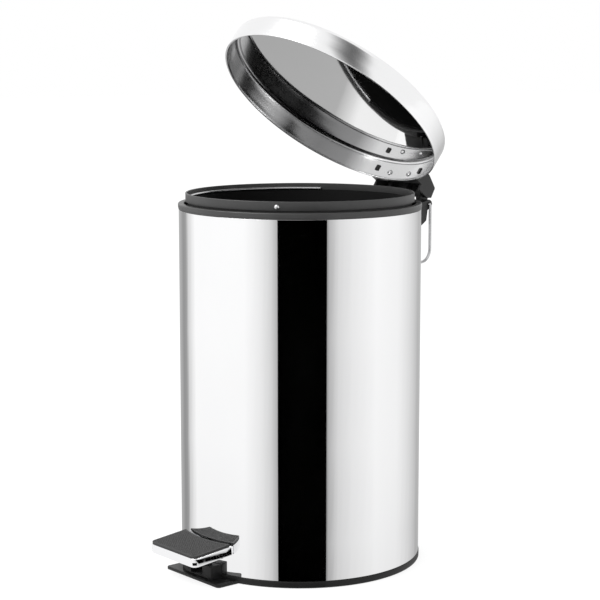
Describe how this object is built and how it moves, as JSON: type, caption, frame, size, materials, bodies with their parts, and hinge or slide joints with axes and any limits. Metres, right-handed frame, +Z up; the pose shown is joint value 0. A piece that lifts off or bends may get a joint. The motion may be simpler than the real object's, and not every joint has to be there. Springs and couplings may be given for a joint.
{
  "type": "pedal trash can",
  "caption": "Round polished steel waste bin with a foot pedal that lifts a hinged lid, a removable inner bucket with a wire bail, and a wire carrying handle behind.",
  "frame": {"origin": "on the floor, at the centre of the tube", "axes": "+Z up along the tube, -Y towards the pedal, +Y towards the lid's hinge"},
  "size_m": [0.2512, 0.327, 0.5616],
  "materials": {
    "polished_steel": "mirror-polished stainless steel",
    "chromed_steel": "bright chromed pressed steel",
    "plated_steel": "zinc plated, satin",
    "steel_wire": "bright drawn wire",
    "steel_fastener": "bright zinc plated",
    "black_plastic": "moulded, fine matt grain",
    "black_rubber": "moulded tread with a fine grid"
  },
  "bodies": {
    "stand": {"base": "black_plastic", "body_shell": "polished_steel", "collar": "black_plastic", "hinge_bracket": "black_plastic", "hinge_screw_left": "steel_fastener", "hinge_screw_right": "steel_fastener", "hinge_pin": "steel_fastener", "pivot_bracket": "plated_steel", "lever_pin": "steel_fastener", "bracket_screw_left": "steel_fastener", "bracket_screw_right": "steel_fastener", "rod_guide": "black_plastic"},
    "lid": {"lid_shell": "polished_steel", "lid_bracket": "black_plastic", "lid_rivet_left": "steel_fastener", "lid_rivet_right": "steel_fastener"},
    "pedal": {"pedal_lever": "plated_steel", "pedal_tray": "chromed_steel", "pedal_pad": "black_rubber", "pedal_rivet_left": "steel_fastener", "pedal_rivet_right": "steel_fastener"},
    "rod": {"push_rod": "steel_wire", "rod_clip": "steel_fastener"},
    "bucket": {"bucket": "black_plastic"},
    "bail": {"bucket_bail": "steel_wire"},
    "handle": {"carry_handle": "steel_wire"}
  },
  "joints": [
    {"name": "lid_hinge", "type": "hinge", "parent": "stand", "child": "lid", "pos_m": [0, 0.15, 0.3645], "axis": [-1, 0, 0], "range_deg": [-39, 36]},
    {"name": "pedal_pivot", "type": "hinge", "parent": "stand", "child": "pedal", "pos_m": [0, -0.02, 0.025], "axis": [1, 0, 0], "range_deg": [-5.8, 5.35]},
    {"name": "rod_slide", "type": "slide", "parent": "stand", "child": "rod", "axis": [0, 0, 1], "range_m": [-0.0142, 0.0131]},
    {"name": "bucket_lift", "type": "slide", "parent": "stand", "child": "bucket", "axis": [0, 0, 1], "range_m": [0, 0.008]},
    {"name": "bail_swing", "type": "hinge", "parent": "bucket", "child": "bail", "pos_m": [0, 0, 0.378], "axis": [-0.6293, 0.7771, 0], "range_deg": [0, 5]},
    {"name": "handle_swing", "type": "hinge", "parent": "stand", "child": "handle", "pos_m": [0, 0.15, 0.3645], "axis": [1, 0, 0], "range_deg": [-15, 95]}
  ],
  "couplings": [
    {"joint": "pedal_pivot", "follows": "lid_hinge", "ratio": 0.1481},
    {"joint": "rod_slide", "follows": "lid_hinge", "m_per_rad": 0.0207}
  ]
}
